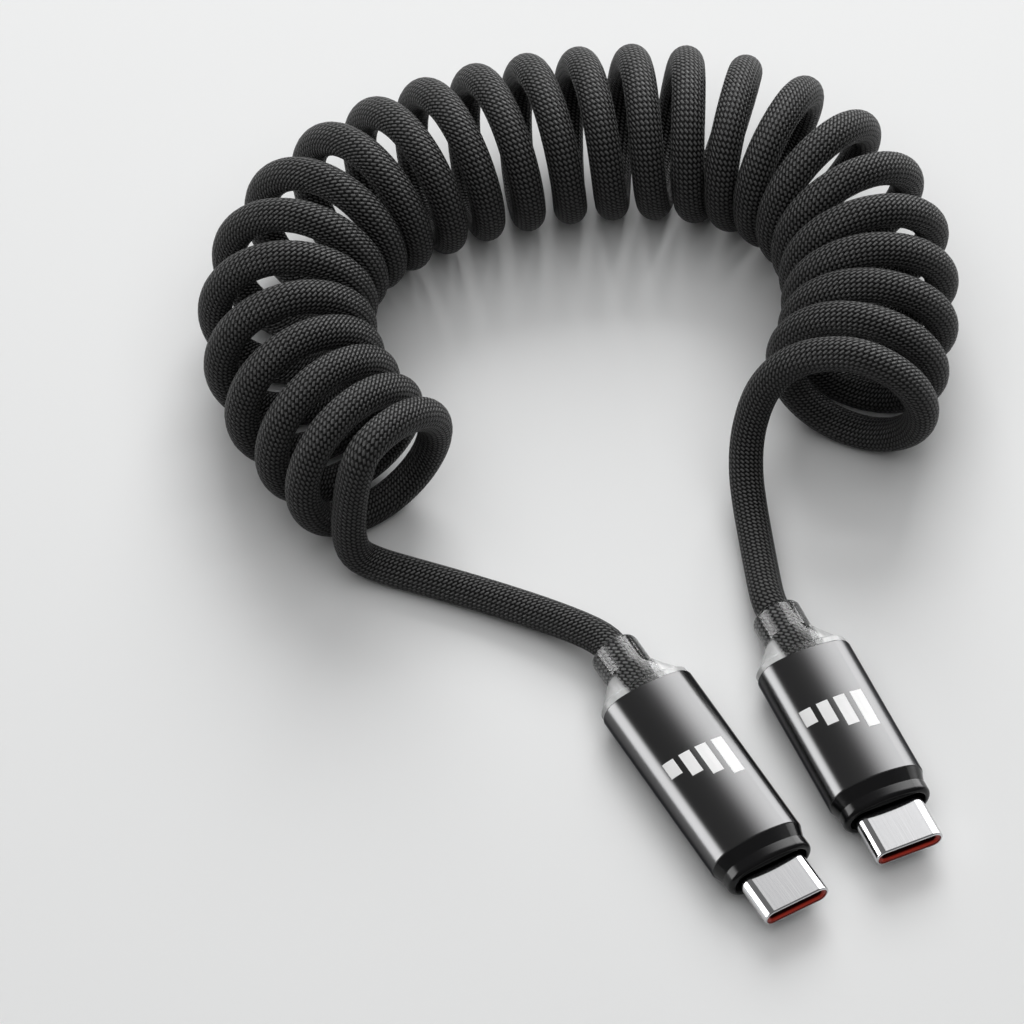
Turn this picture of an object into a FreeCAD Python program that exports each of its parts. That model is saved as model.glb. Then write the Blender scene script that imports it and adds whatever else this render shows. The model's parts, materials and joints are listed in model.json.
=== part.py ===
import FreeCAD, Part
import math
import os

# A coiled USB-C charging cable, lying on a flat surface at z = 0, in millimetres.
# The braided cord is wound into a coil laid in a horseshoe, with a plain lead and a plug at each end.
# The origin is on the surface, midway between the two plugs. +X is to the right and +Y goes back to the coil.

# Cord and coil
CORD_DIAMETER = 4.0
COIL_DIAMETER = 20.8
COIL_ROUTE = [
    (-41.5, 32.5), (-48.5, 40.5), (-54.0, 50.5), (-55.0, 62.0), (-50.0, 72.5), (-40.5, 79.5), (-28.5, 84.0),
    (-15.5, 86.0), (-3.0, 85.0), (6.5, 79.5), (12.0, 71.0), (13.5, 61.0), (12.0, 51.5), (9.0, 43.5),
]
# Where each lead leaves the end of the coil, as an angle from the outer side towards the top
LEAD_A_ANGLE = -45.0
LEAD_B_ANGLE = 195.0
LEAD_A_STUB = 5.0
LEAD_B_STUB = 8.0
# The points of lead A between its coil end and its plug. Lead B needs none.
LEAD_A_ROUTE = [(-34.6, 24.4, 2.1)]
LEAD_B_ROUTE = []
# How far behind its plug a lead turns to the plug's heading, so that it is straight in the collar
LEAD_ENTRY = 6.3
ARC_SHARE = 0.45

# Plugs: the middle of the collar's rear rim, the heading in degrees and the housing's length
PLUG_A_PLACE = (-17.0, 15.5)
PLUG_B_PLACE = (1.5, 20.5)
PLUG_A_HEADING = -60.0
PLUG_B_HEADING = -66.0
HOUSING_A_LENGTH = 24.0
HOUSING_B_LENGTH = 19.0

# Housing sleeve, an oval of four arcs
HOUSING_WIDTH = 11.6
HOUSING_HEIGHT = 6.5
HOUSING_SIDE_RADIUS = 2.9
HOUSING_WALL = 0.6
HOUSING_EDGE = 0.15

# Clear end: a round collar on the cord and a shoulder that widens to the housing
COLLAR_DIAMETER = 5.9
COLLAR_LENGTH = 3.8
COLLAR_EDGE = 0.5
SHOULDER_TAPER = 2.6
SHOULDER_LENGTH = 3.8
SHOULDER_STEP = 0.15
SHOULDER_BEVEL = 0.5
SPIGOT_LENGTH = 2.0
BOSS_DIAMETER = 5.0

# Nose collar round the shell: a band that falls away from the housing, then a raised lip round a recess
NOSE_LENGTH = 3.1
NOSE_STEP = 0.08
NOSE_BAND_LENGTH = 1.5
NOSE_BAND_FALL = 0.5
NOSE_LIP_RISE = 0.12
NOSE_LIP_EDGE = 0.1
NOSE_LIP_ROUND = 0.55
NOSE_SPIGOT = 1.5
NOSE_RECESS_MARGIN = 0.45
NOSE_RECESS_DEPTH = 1.3
NOSE_RECESS_EDGE = 0.2

# Shell, the drawn steel tongue cover that enters the socket
SHELL_WIDTH = 8.25
SHELL_HEIGHT = 2.4
SHELL_WALL = 0.25
SHELL_REACH = 5.5
SHELL_LENGTH = 13.0
SHELL_LIP = 0.18

# Contact carrier, with the slot for the socket's tongue
CARRIER_SETBACK = 0.15
CARRIER_TAIL = 1.0
CARRIER_SIDE_WALL = 0.495
CARRIER_FLOOR_WALL = 0.37
SLOT_DEPTH = 6.2
SLOT_LEAD_IN = 0.2

# Sprung contacts, with distances back from the shell's tip
CONTACT_PITCH = 0.5
CONTACT_POSITIONS = 12
UPPER_CONTACTS = (1, 4, 5, 6, 7, 9, 12)
LOWER_CONTACTS = (1, 4, 8, 9, 12)
CONTACT_WIDTH = 0.25
CONTACT_THICKNESS = 0.15
CONTACT_LIP = 1.9
CONTACT_TOUCH = 2.8
CONTACT_KNEE = 5.6
CONTACT_ROOT = 6.4
CONTACT_DIP = 0.13
CONTACT_KNEE_RISE = 0.15
CONTACT_LIP_RISE = 0.07
CONTACT_FOOT = 1.5
GROOVE_MARGIN = 0.2

# Latch plate between the contact rows
LATCH_THICKNESS = 0.2
LATCH_ARM_WIDTH = 0.3
LATCH_FRONT = 2.2
LATCH_HOOK = 0.2
LATCH_HOOK_LENGTH = 0.4
LATCH_BAR_FRONT = 7.2
LATCH_BAR_LENGTH = 1.2

# Ground springs behind the mouth
SPRING_FRONT = 0.6
SPRING_LENGTH = 1.0
SPRING_WIDTH = 5.8
SPRING_THICKNESS = 0.1
SPRING_FINGERS = 4
SPRING_FINGER_PITCH = 1.4
SPRING_FINGER_WIDTH = 0.6
SPRING_FINGER_THICKNESS = 0.12
SPRING_DIP = 0.05

# Circuit board, its chip and the conductors
CARD_THICKNESS = 0.8
CARD_WIDTH = 8.2
CARD_LENGTH = 8.0
CHIP_SIZE = 2.2
CHIP_HEIGHT = 0.7
CHIP_GAP = 0.8
SIGNAL_WIRE_DIAMETER = 0.6
SIGNAL_WIRE_PITCH = 1.0
SIGNAL_WIRES = 3
POWER_WIRE_DIAMETER = 0.9
POWER_WIRE_PITCH = 1.6
POWER_WIRES = 2
WIRE_FOOT = 1.6

# Slip fit between pieces that go into one another
FIT = 0.03

# Places that follow from the sizes above
SHOULDER_START = COLLAR_LENGTH
HOUSING_START = COLLAR_LENGTH + SHOULDER_LENGTH
PLUG_AXIS_HEIGHT = HOUSING_HEIGHT / 2
COIL_HEIGHT = COIL_DIAMETER / 2
COIL_TURN_RADIUS = (COIL_DIAMETER - CORD_DIAMETER) / 2
SLOT_WIDTH = SHELL_WIDTH - 2 * (SHELL_WALL + FIT + CARRIER_SIDE_WALL)
SLOT_HEIGHT = SHELL_HEIGHT - 2 * (SHELL_WALL + FIT + CARRIER_FLOOR_WALL)
X_AXIS = FreeCAD.Vector(1, 0, 0)
Z_AXIS = FreeCAD.Vector(0, 0, 1)


def at(x, y, z):
    return FreeCAD.Vector(x, y, z)


def arcs_through(points):
    """Closes a ring of arcs: each arc runs from one even point to the next, through the odd one between."""
    edges = []
    for start in range(0, len(points), 2):
        end = points[(start + 2) % len(points)]
        edges.append(Part.Arc(points[start], points[start + 1], end).toShape())
    return Part.Wire(edges)


def oval_wire(x, inset=0.0):
    """The housing's outline at x, drawn in by inset: two round sides joined by two shallow crowns."""
    half_width = HOUSING_WIDTH / 2 - inset
    half_height = HOUSING_HEIGHT / 2 - inset
    side_radius = HOUSING_SIDE_RADIUS - inset
    side_centre = half_width - side_radius
    crown_excess = half_height - side_radius
    crown_radius = (side_centre**2 + half_height**2 - side_radius**2) / (2 * crown_excess)
    drop = crown_radius - half_height
    reach = math.hypot(side_centre, drop)
    join_y = crown_radius * side_centre / reach
    join_z = crown_radius * drop / reach - drop
    return arcs_through([
        at(x, join_y, -join_z), at(x, half_width, 0), at(x, join_y, join_z), at(x, 0, half_height),
        at(x, -join_y, join_z), at(x, -half_width, 0), at(x, -join_y, -join_z), at(x, 0, -half_height),
    ])


def round_wire(x, diameter):
    """A circle at x in four arcs, so that it lofts to the oval arc by arc."""
    radius = diameter / 2
    corner = radius * math.sqrt(0.5)
    return arcs_through([
        at(x, corner, -corner), at(x, radius, 0), at(x, corner, corner), at(x, 0, radius),
        at(x, -corner, corner), at(x, -radius, 0), at(x, -corner, -corner), at(x, 0, -radius),
    ])


def stadium_wire(x, width, height):
    """A slot outline with full round ends at x."""
    radius = height / 2
    straight = width / 2 - radius
    right = Part.Arc(at(x, straight, -radius), at(x, width / 2, 0), at(x, straight, radius))
    top = Part.LineSegment(at(x, straight, radius), at(x, -straight, radius))
    left = Part.Arc(at(x, -straight, radius), at(x, -width / 2, 0), at(x, -straight, -radius))
    bottom = Part.LineSegment(at(x, -straight, -radius), at(x, straight, -radius))
    return Part.Wire([right.toShape(), top.toShape(), left.toShape(), bottom.toShape()])


def pushed(wire, length):
    """The outline filled and pushed along the plug."""
    return Part.Face(wire).extrude(X_AXIS * length)


def rod(x, length, diameter, y=0.0, z=0.0):
    return Part.makeCylinder(diameter / 2, length, at(x, y, z), X_AXIS)


def block(x, length, y_low, y_high, z_low, z_high):
    return Part.makeBox(length, y_high - y_low, z_high - z_low, at(x, y_low, z_low))


def edges_at(solid, x):
    """The edges that lie in the plane at x."""
    flat = 1e-4
    return [e for e in solid.Edges if abs(e.BoundBox.XMin - x) < flat and abs(e.BoundBox.XMax - x) < flat]


def centred_row(count, pitch):
    return [(number - (count - 1) / 2) * pitch for number in range(count)]


class Plug:
    """One plug in its own frame: x runs from the collar's rear rim to the mouth, and the axis is y = z = 0."""

    def __init__(self, place, heading, housing_length, has_chip):
        self.place = place
        self.heading = heading
        self.has_chip = has_chip
        self.housing_length = housing_length
        self.nose_start = HOUSING_START + housing_length
        self.nose_front = self.nose_start + NOSE_LENGTH
        self.tip = self.nose_front + SHELL_REACH
        self.shell_rear = self.tip - SHELL_LENGTH
        self.card_front = self.shell_rear - CARRIER_TAIL
        self.card_rear = self.card_front - CARD_LENGTH
        self.foot_end = self.card_front - CONTACT_FOOT

    def placement(self):
        x, y = self.place
        return FreeCAD.Placement(at(x, y, PLUG_AXIS_HEIGHT), FreeCAD.Rotation(Z_AXIS, self.heading))

    def world(self, x):
        """A point on the plug's axis in the part's frame."""
        point = self.placement().multVec(at(x, 0, 0))
        return (point.x, point.y, point.z)

    def housing(self):
        sleeve = pushed(oval_wire(HOUSING_START), self.housing_length)
        rims = edges_at(sleeve, HOUSING_START) + edges_at(sleeve, self.nose_start)
        sleeve = sleeve.makeFillet(HOUSING_EDGE, rims)
        return sleeve.cut(pushed(oval_wire(HOUSING_START, HOUSING_WALL), self.housing_length))

    def clear_end(self):
        collar = rod(0, COLLAR_LENGTH, COLLAR_DIAMETER)
        collar = collar.makeFillet(COLLAR_EDGE, edges_at(collar, 0))
        taper_end = SHOULDER_START + SHOULDER_TAPER
        taper = Part.makeLoft([
            round_wire(SHOULDER_START, COLLAR_DIAMETER),
            oval_wire(taper_end, SHOULDER_STEP + SHOULDER_BEVEL),
        ], True)
        bevel = Part.makeLoft([
            oval_wire(taper_end, SHOULDER_STEP + SHOULDER_BEVEL),
            oval_wire(taper_end + SHOULDER_BEVEL, SHOULDER_STEP),
        ], True)
        rim_start = taper_end + SHOULDER_BEVEL
        rim = pushed(oval_wire(rim_start, SHOULDER_STEP), HOUSING_START - rim_start)
        spigot = pushed(oval_wire(HOUSING_START, HOUSING_WALL + FIT), SPIGOT_LENGTH)
        body = collar.multiFuse([taper, bevel, rim, spigot]).removeSplitter()
        cord_hole = rod(0, HOUSING_START, CORD_DIAMETER + 2 * FIT)
        boss_hole = rod(HOUSING_START, SPIGOT_LENGTH, BOSS_DIAMETER + 2 * FIT)
        return body.cut(cord_hole.fuse(boss_hole))

    def nose(self):
        lip_start = self.nose_start + NOSE_BAND_LENGTH
        band_inset = NOSE_STEP + NOSE_BAND_FALL
        band = Part.makeLoft([oval_wire(self.nose_start, NOSE_STEP), oval_wire(lip_start, band_inset)], True)
        lip = pushed(oval_wire(lip_start, band_inset - NOSE_LIP_RISE), NOSE_LENGTH - NOSE_BAND_LENGTH)
        lip = lip.makeFillet(NOSE_LIP_ROUND, edges_at(lip, self.nose_front))
        lip = lip.makeFillet(NOSE_LIP_EDGE, edges_at(lip, lip_start))
        collar = band.fuse(lip)
        spigot_start = self.nose_start - NOSE_SPIGOT
        spigot = pushed(oval_wire(spigot_start, HOUSING_WALL + FIT), NOSE_SPIGOT)
        recess_width = SHELL_WIDTH + 2 * NOSE_RECESS_MARGIN
        recess_height = SHELL_HEIGHT + 2 * NOSE_RECESS_MARGIN
        floor = self.nose_front - NOSE_RECESS_DEPTH
        recess = pushed(stadium_wire(floor, recess_width, recess_height), NOSE_RECESS_DEPTH)
        collar = collar.cut(recess)
        rim = [e for e in edges_at(collar, self.nose_front) if abs(e.BoundBox.ZLength - recess_height) < FIT
               or e.BoundBox.ZLength < FIT]
        collar = collar.makeFillet(NOSE_RECESS_EDGE, rim)
        hole = stadium_wire(spigot_start, SHELL_WIDTH + 2 * FIT, SHELL_HEIGHT + 2 * FIT)
        return collar.fuse(spigot).removeSplitter().cut(pushed(hole, NOSE_SPIGOT + NOSE_LENGTH))

    def shell(self):
        outer = pushed(stadium_wire(self.shell_rear, SHELL_WIDTH, SHELL_HEIGHT), SHELL_LENGTH)
        outer = outer.makeFillet(SHELL_LIP, edges_at(outer, self.tip))
        inside = stadium_wire(self.shell_rear, SHELL_WIDTH - 2 * SHELL_WALL, SHELL_HEIGHT - 2 * SHELL_WALL)
        return outer.cut(pushed(inside, SHELL_LENGTH))

    def contact(self, number, side):
        """One sprung contact: a foot on the board, a beam and a nib that dips into the slot."""
        roof = SLOT_HEIGHT / 2
        foot = CARD_THICKNESS / 2 + CONTACT_THICKNESS / 2
        line = [
            (self.foot_end, foot),
            (self.tip - CONTACT_ROOT, foot),
            (self.tip - CONTACT_KNEE, roof + CONTACT_KNEE_RISE),
            (self.tip - CONTACT_TOUCH, roof - CONTACT_DIP),
            (self.tip - CONTACT_LIP, roof + CONTACT_LIP_RISE),
        ]
        half = CONTACT_THICKNESS / 2
        upper = [(x, z + half) for x, z in line]
        lower = [(x, z - half) for x, z in reversed(line)]
        ring = [at(x, 0, side * z) for x, z in upper + lower]
        y = (number - (CONTACT_POSITIONS + 1) / 2) * CONTACT_PITCH
        strip = Part.Face(Part.makePolygon(ring + ring[:1]))
        strip.translate(at(0, y - CONTACT_WIDTH / 2, 0))
        return strip.extrude(at(0, CONTACT_WIDTH, 0))

    def contact_groove(self, number, side):
        """The room that one contact needs in the carrier."""
        y = (number - (CONTACT_POSITIONS + 1) / 2) * CONTACT_PITCH
        left = y - CONTACT_WIDTH / 2 - FIT
        right = y + CONTACT_WIDTH / 2 + FIT
        foot_low = CARD_THICKNESS / 2 - FIT
        foot_high = CARD_THICKNESS / 2 + CONTACT_THICKNESS + FIT
        beam_high = SLOT_HEIGHT / 2 + CONTACT_KNEE_RISE + CONTACT_THICKNESS / 2 + FIT
        front = self.tip - CONTACT_LIP + GROOVE_MARGIN
        rear = self.tip - CONTACT_ROOT - GROOVE_MARGIN
        levels = [(rear, front, beam_high), (self.card_front, rear, foot_high)]
        rooms = []
        for start, end, high in levels:
            low, top = sorted((side * foot_low, side * high))
            rooms.append(block(start, end - start, left, right, low, top))
        return rooms[0].fuse(rooms[1])

    def contact_row(self, numbers, side):
        return Part.makeCompound([self.contact(number, side) for number in numbers])

    def latch_plate(self, grow=0.0):
        """A forked plate between the contact rows, with a hook at the end of each arm."""
        half = LATCH_THICKNESS / 2 + grow
        inner = SLOT_WIDTH / 2 + FIT
        outer = inner + LATCH_ARM_WIDTH
        bar_rear = self.tip - LATCH_BAR_FRONT - LATCH_BAR_LENGTH
        front = self.tip - LATCH_FRONT
        plate = block(bar_rear - grow, LATCH_BAR_LENGTH + 2 * grow, -outer - grow, outer + grow, -half, half)
        for side in (-1, 1):
            low, high = sorted((side * (inner - grow), side * (outer + grow)))
            arm = block(bar_rear - grow, front - bar_rear + 2 * grow, low, high, -half, half)
            hook_low, hook_high = sorted((side * (inner - FIT - LATCH_HOOK - grow), side * outer))
            hook_start = front - LATCH_HOOK_LENGTH - grow
            hook = block(hook_start, LATCH_HOOK_LENGTH + 2 * grow, hook_low, hook_high, -half, half)
            plate = plate.fuse(arm).fuse(hook)
        return plate.removeSplitter()

    def ground_spring(self, side, grow=0.0):
        """A thin plate against the shell with fingers that reach through the carrier into the slot."""
        seat = SHELL_HEIGHT / 2 - SHELL_WALL - FIT
        start = self.tip - SPRING_FRONT - SPRING_LENGTH
        low, high = sorted((side * (seat - SPRING_THICKNESS - grow), side * seat))
        half = SPRING_WIDTH / 2 + grow
        spring = block(start - grow, SPRING_LENGTH + 2 * grow, -half, half, low, high)
        reach = SLOT_HEIGHT / 2 - SPRING_DIP - grow
        finger_start = start + (SPRING_LENGTH - SPRING_FINGER_THICKNESS) / 2 - grow
        low, high = sorted((side * reach, side * seat))
        for y in centred_row(SPRING_FINGERS, SPRING_FINGER_PITCH):
            half = SPRING_FINGER_WIDTH / 2 + grow
            length = SPRING_FINGER_THICKNESS + 2 * grow
            spring = spring.fuse(block(finger_start, length, y - half, y + half, low, high))
        return spring.removeSplitter()

    def ground_springs(self):
        return Part.makeCompound([self.ground_spring(side) for side in (1, -1)])

    def carrier(self):
        inset = SHELL_WALL + FIT
        front = self.tip - CARRIER_SETBACK
        outline = stadium_wire(self.card_front, SHELL_WIDTH - 2 * inset, SHELL_HEIGHT - 2 * inset)
        body = pushed(outline, front - self.card_front)
        slot_rear = self.tip - SLOT_DEPTH
        body = body.cut(pushed(stadium_wire(slot_rear, SLOT_WIDTH, SLOT_HEIGHT), front - slot_rear))
        mouth = [e for e in edges_at(body, front) if e.BoundBox.ZMax <= SLOT_HEIGHT / 2 + FIT
                 and e.BoundBox.ZMin >= -SLOT_HEIGHT / 2 - FIT]
        body = body.makeChamfer(SLOT_LEAD_IN, mouth)
        rooms = [self.contact_groove(number, 1) for number in UPPER_CONTACTS]
        rooms += [self.contact_groove(number, -1) for number in LOWER_CONTACTS]
        rooms += [self.ground_spring(side, FIT) for side in (1, -1)]
        rooms.append(self.latch_plate(FIT))
        return body.cut(Part.makeCompound(rooms))

    def paddle_card(self):
        half = CARD_THICKNESS / 2
        return block(self.card_rear, CARD_LENGTH, -CARD_WIDTH / 2, CARD_WIDTH / 2, -half, half)

    def chip(self):
        start = self.foot_end - CHIP_GAP - CHIP_SIZE
        top = CARD_THICKNESS / 2
        return block(start, CHIP_SIZE, -CHIP_SIZE / 2, CHIP_SIZE / 2, top, top + CHIP_HEIGHT)

    def wires(self):
        """Signal wires on top of the board and power wires under it, straight from the cord's end."""
        length = self.card_rear + WIRE_FOOT - HOUSING_START
        signal_height = CARD_THICKNESS / 2 + SIGNAL_WIRE_DIAMETER / 2
        power_height = CARD_THICKNESS / 2 + POWER_WIRE_DIAMETER / 2
        signals = [rod(HOUSING_START, length, SIGNAL_WIRE_DIAMETER, y, signal_height)
                   for y in centred_row(SIGNAL_WIRES, SIGNAL_WIRE_PITCH)]
        powers = [rod(HOUSING_START, length, POWER_WIRE_DIAMETER, y, -power_height)
                  for y in centred_row(POWER_WIRES, POWER_WIRE_PITCH)]
        return Part.makeCompound(signals + powers)

    def inner_mould(self, held):
        """The core moulded round everything that the housing hides."""
        start = HOUSING_START + SPIGOT_LENGTH
        end = self.nose_start - NOSE_SPIGOT
        core = pushed(oval_wire(start, HOUSING_WALL + FIT), end - start)
        boss = rod(HOUSING_START, SPIGOT_LENGTH, BOSS_DIAMETER)
        return core.fuse(boss).removeSplitter().cut(Part.makeCompound(held))

    def pieces(self):
        upper = self.contact_row(UPPER_CONTACTS, 1)
        lower = self.contact_row(LOWER_CONTACTS, -1)
        carrier = self.carrier()
        card = self.paddle_card()
        wires = self.wires()
        filled_shell = pushed(stadium_wire(self.shell_rear, SHELL_WIDTH, SHELL_HEIGHT), SHELL_LENGTH)
        carrier_tail = stadium_wire(self.card_front, SHELL_WIDTH - 2 * (SHELL_WALL + FIT),
                                    SHELL_HEIGHT - 2 * (SHELL_WALL + FIT))
        held = [filled_shell, pushed(carrier_tail, CARRIER_TAIL), card, upper, lower, wires]
        made = {
            "housing": self.housing(),
            "clear_end": self.clear_end(),
            "nose": self.nose(),
            "shell": self.shell(),
            "insulator": carrier,
            "contacts_upper": upper,
            "contacts_lower": lower,
            "latch_plate": self.latch_plate(),
            "ground_springs": self.ground_springs(),
            "paddle_card": card,
            "wires": wires,
        }
        if self.has_chip:
            made["emarker_chip"] = self.chip()
            held.append(made["emarker_chip"])
        made["inner_mould"] = self.inner_mould(held)
        for shape in made.values():
            shape.Placement = self.placement().multiply(shape.Placement)
        return made


def rounded_path(name, points):
    """Straight runs joined by tangent arcs, each arc as large as its two runs allow."""
    corners = [at(*point) for point in points]
    edges = []
    radii = []
    start = corners[0]
    for before, corner, after in zip(corners, corners[1:], corners[2:]):
        back = before.sub(corner)
        ahead = after.sub(corner)
        setback = ARC_SHARE * min(back.Length, ahead.Length)
        half_turn = (math.pi - back.getAngle(ahead)) / 2
        radius = setback / math.tan(half_turn)
        back.normalize()
        ahead.normalize()
        arc_start = corner + back * setback
        arc_end = corner + ahead * setback
        inward = back + ahead
        inward.normalize()
        middle = corner + inward * (radius / math.cos(half_turn) - radius)
        edges.append(Part.LineSegment(start, arc_start).toShape())
        edges.append(Part.Arc(arc_start, middle, arc_end).toShape())
        radii.append(round(radius, 1))
        start = arc_end
    edges.append(Part.LineSegment(start, corners[-1]).toShape())
    print(name, "bend radii", radii)
    return Part.Wire(edges)


def tube(name, points, diameter):
    """A plain tube along a route, with its volume compared with section times length."""
    path = rounded_path(name, points)
    heading = at(*points[1]).sub(at(*points[0]))
    ring = Part.Wire(Part.makeCircle(diameter / 2, at(*points[0]), heading))
    solid = path.makePipeShell([ring], True, False)
    expected = math.pi * diameter**2 / 4 * path.Length
    share = round(solid.Volume / expected, 5)
    print(name, "length", round(path.Length, 2), "volume over section times length", share)
    return solid


def coil_end(end, before, travel, angle, stub):
    """The points where a lead leaves a coil end: on the end face, and straight out from it.

    travel is 1 where outward runs the way from lead A to lead B, and -1 where it runs the other way.
    The outer side of the horseshoe is on the left of that way.
    """
    outward = at(end[0] - before[0], end[1] - before[1], 0)
    outward.normalize()
    outer = Z_AXIS.cross(outward * travel)
    turn = math.radians(angle)
    centre = at(end[0], end[1], COIL_HEIGHT)
    face = centre + outer * (COIL_TURN_RADIUS * math.cos(turn)) + Z_AXIS * (COIL_TURN_RADIUS * math.sin(turn))
    return [tuple(face), tuple(face + outward * stub)]


def cord_pieces(plug_a, plug_b):
    coil_points = [(x, y, COIL_HEIGHT) for x, y in COIL_ROUTE]
    start_a = coil_end(COIL_ROUTE[0], COIL_ROUTE[1], -1, LEAD_A_ANGLE, LEAD_A_STUB)
    start_b = coil_end(COIL_ROUTE[-1], COIL_ROUTE[-2], 1, LEAD_B_ANGLE, LEAD_B_STUB)
    ends = {
        "lead_a": (start_a, LEAD_A_ROUTE, plug_a),
        "lead_b": (start_b, LEAD_B_ROUTE, plug_b),
    }
    made = {"coiled_cord": tube("coiled_cord", coil_points, COIL_DIAMETER)}
    for name, (start, route, plug) in ends.items():
        points = start + route + [plug.world(-LEAD_ENTRY), plug.world(HOUSING_START)]
        made[name] = tube(name, points, CORD_DIAMETER)
    return made


def main():
    plug_a = Plug(PLUG_A_PLACE, PLUG_A_HEADING, HOUSING_A_LENGTH, True)
    plug_b = Plug(PLUG_B_PLACE, PLUG_B_HEADING, HOUSING_B_LENGTH, False)
    nodes = cord_pieces(plug_a, plug_b)
    for suffix, plug in (("a", plug_a), ("b", plug_b)):
        for name, shape in plug.pieces().items():
            nodes[name + "_" + suffix] = shape
    os.makedirs("parts", exist_ok=True)
    for name, shape in nodes.items():
        shape.exportStep(os.path.join("parts", name + ".step"))
        print(name, "solids", len(shape.Solids), "valid", shape.isValid(), "volume", round(shape.Volume, 3))


main()
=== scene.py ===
import bisect
import json
import math

import bpy
from bpy.props import FloatProperty, FloatVectorProperty, IntProperty, PointerProperty
from mathutils import Matrix, Vector


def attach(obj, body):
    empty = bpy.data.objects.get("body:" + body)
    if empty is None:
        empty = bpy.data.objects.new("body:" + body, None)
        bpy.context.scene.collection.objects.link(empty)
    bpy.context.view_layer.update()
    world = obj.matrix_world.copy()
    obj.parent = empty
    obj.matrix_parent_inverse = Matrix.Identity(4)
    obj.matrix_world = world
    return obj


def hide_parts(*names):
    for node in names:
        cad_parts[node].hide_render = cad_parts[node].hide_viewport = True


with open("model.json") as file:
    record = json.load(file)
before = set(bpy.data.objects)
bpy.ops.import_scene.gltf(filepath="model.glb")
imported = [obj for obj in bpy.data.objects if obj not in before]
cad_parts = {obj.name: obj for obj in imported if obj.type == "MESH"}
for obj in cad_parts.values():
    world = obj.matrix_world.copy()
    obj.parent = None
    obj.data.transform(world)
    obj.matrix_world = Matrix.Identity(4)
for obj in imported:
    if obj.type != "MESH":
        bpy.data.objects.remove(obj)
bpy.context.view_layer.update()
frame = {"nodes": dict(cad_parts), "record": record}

bl_info = {
    "name": "Coiled charging cable",
    "version": (1, 0, 0),
    "blender": (4, 5, 0),
    "location": "3D View > Sidebar > Cable",
    "description": "Dresses a coiled charging cable: braided cord, two plugs and the table it lies on",
    "category": "Object",
}

# The middle line of the coil, from the end with lead A to the end with lead B.
COIL_ROUTE = [
    (-0.0415, 0.0325), (-0.0485, 0.0405), (-0.0540, 0.0505), (-0.0550, 0.0620), (-0.0500, 0.0725),
    (-0.0405, 0.0795), (-0.0285, 0.0840), (-0.0155, 0.0860), (-0.0030, 0.0850), (0.0065, 0.0795),
    (0.0120, 0.0710), (0.0135, 0.0610), (0.0120, 0.0515), (0.0088, 0.0430),
]
# Lead A from its plug to the coil, and lead B from the coil to its plug. Each runs on to the top of an end
# turn, where it takes the place of as many of the coil's own points as its join says.
LEAD_A_ROUTE = [
    (-0.0235, 0.0205, 0.0026), (-0.0300, 0.0235, 0.0021), (-0.0358, 0.0257, 0.0020),
    (-0.0405, 0.0273, 0.0020), (-0.0440, 0.0284, 0.0022), (-0.0466, 0.0289, 0.0036),
    (-0.0472, 0.0292, 0.0075), (-0.0470, 0.0298, 0.0115), (-0.0465, 0.0305, 0.0155),
]
LEAD_A_JOIN = 5
LEAD_B_ROUTE = [
    (0.0082, 0.0453, 0.0199), (0.0052, 0.0456, 0.0189), (0.0026, 0.0457, 0.0169),
    (0.0006, 0.0454, 0.0140), (-0.0007, 0.0445, 0.0106), (-0.0015, 0.0426, 0.0072),
    (-0.0016, 0.0396, 0.0045), (-0.0011, 0.0360, 0.0028), (-0.0005, 0.0318, 0.0023),
    (0.0001, 0.0270, 0.0026),
]
LEAD_B_JOIN = 5
# How far apart the turns lie, at shares of the way along the coil.
TURN_SPACING = [
    (0.0, 0.0070), (0.03, 0.0054), (0.07, 0.0055), (0.18, 0.0062), (0.30, 0.0061), (0.40, 0.0058),
    (0.55, 0.0056), (0.65, 0.0058), (0.74, 0.0064), (0.80, 0.0057), (0.88, 0.0052), (0.97, 0.0056),
    (1.0, 0.0090),
]
# How wide the turns are at shares of that way, as shares of the coil's diameter: the end turns are loose.
TURN_SIZES = [(0.0, 1.05), (0.06, 1.0), (0.93, 1.0), (1.0, 1.08)]

# Each plug's length from its collar's rear rim to its mouth, and the collar's share of it.
PLUG_LENGTH = {"a": 0.0402, "b": 0.0352}
COLLAR_LENGTH = 0.0038
# Where the cord passes along a plug, from just behind its collar to its end inside.
PLUG_STATIONS = (-0.0020, 0.0010, 0.0040, 0.0076)
# Where the middle of the print is on each housing, measured back from the mouth, and how far above
# the plug's axis the print starts before it is laid down.
PRINT_PLACE = {"a": 0.0197, "b": 0.0176}
PRINT_DROP = 0.01
# The painted reflection, milky white patches in a clear end's shoulder, fades in over this length of its
# shoulder, and between these two distances to either side of the plug's axis.
PAINTED_REFLECTION_FADE = 0.0008
PAINTED_REFLECTION_SIDES = (0.0020, 0.0028)
# How far behind the mouth the painted shade in a contact carrier's slot starts, and how far behind it is
# full.
CARRIER_SHADE_START = 0.0002
CARRIER_SHADE_FULL = 0.0005
# How high the finest marks on the surfaces stand: the grain of metal and plastic, the ripple of the clear
# plastic and the strands of the braid.
GRAIN_HEIGHT = 0.000001
RIPPLE_HEIGHT = 0.000012
STRAND_HEIGHT = 0.00022


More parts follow.
